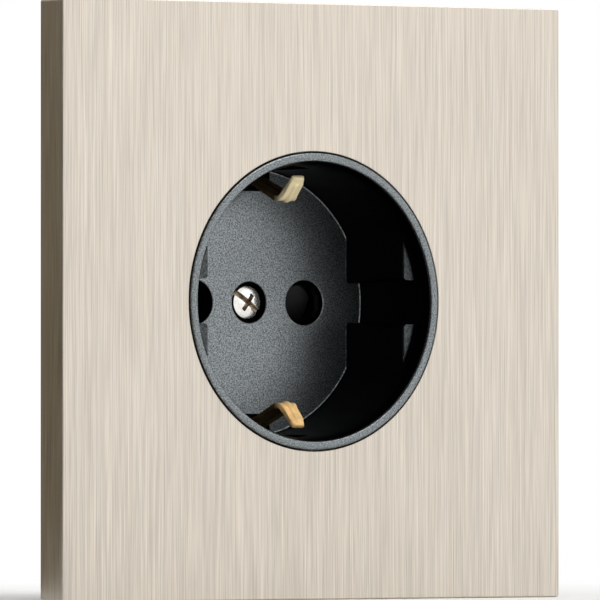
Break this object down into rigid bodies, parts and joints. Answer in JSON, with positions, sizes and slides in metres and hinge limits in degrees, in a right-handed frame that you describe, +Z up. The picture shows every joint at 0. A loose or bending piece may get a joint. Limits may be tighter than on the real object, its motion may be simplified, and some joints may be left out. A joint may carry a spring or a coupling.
{
  "type": "type f wall socket",
  "caption": "Flush wall socket with side earth clips: square brushed metal cover plate, round dark recessed insert with shuttered pin holes, steel support frame and screw terminals.",
  "frame": {"origin": "centre of the cover plate's rear rim, on the wall surface", "axes": "+Y into the wall, so the socket faces -Y; +Z up; +X to the right as seen from the room"},
  "size_m": [0.085, 0.0392, 0.085],
  "materials": {
    "plate_metal": "warm nickel, brushed up and down",
    "carrier_plastic": "plain moulded",
    "insert_plastic": "fine moulded grain, anthracite",
    "nickel_screw": "nickel plated, bright",
    "shutter_plastic": "smooth moulded",
    "base_plastic": "pale grey moulding",
    "contact_brass": "rolled strip, plain",
    "zinc_plated_steel": "zinc plated sheet",
    "spring_steel": "drawn wire and strip"
  },
  "bodies": {
    "socket": {"cover_plate": "plate_metal", "left_carrier": "carrier_plastic", "right_carrier": "carrier_plastic", "socket_insert": "insert_plastic", "centre_screw": "nickel_screw", "shutter_spring": "spring_steel", "shutter_retainer": "base_plastic", "retainer_screws": "zinc_plated_steel", "earth_strap": "contact_brass", "support_frame": "zinc_plated_steel", "assembly_rivets": "contact_brass", "mechanism_base": "base_plastic", "terminal_housing": "base_plastic", "left_spacer": "base_plastic", "right_spacer": "base_plastic", "rear_cover": "base_plastic", "live_contact": "contact_brass", "neutral_contact": "contact_brass", "live_sleeve_spring": "spring_steel", "neutral_sleeve_spring": "spring_steel", "live_terminal": "contact_brass", "earth_terminal": "contact_brass", "neutral_terminal": "contact_brass", "terminal_screws": "zinc_plated_steel"},
    "shutter": {"shutter": "shutter_plastic"}
  },
  "joints": [
    {"name": "shutter_slide", "type": "slide", "parent": "socket", "child": "shutter", "axis": [0, 0, 1], "range_m": [0, 0.006], "stiffness_N_per_m": 100, "springref_m": -0.005, "deforming": ["shutter_spring"]}
  ]
}
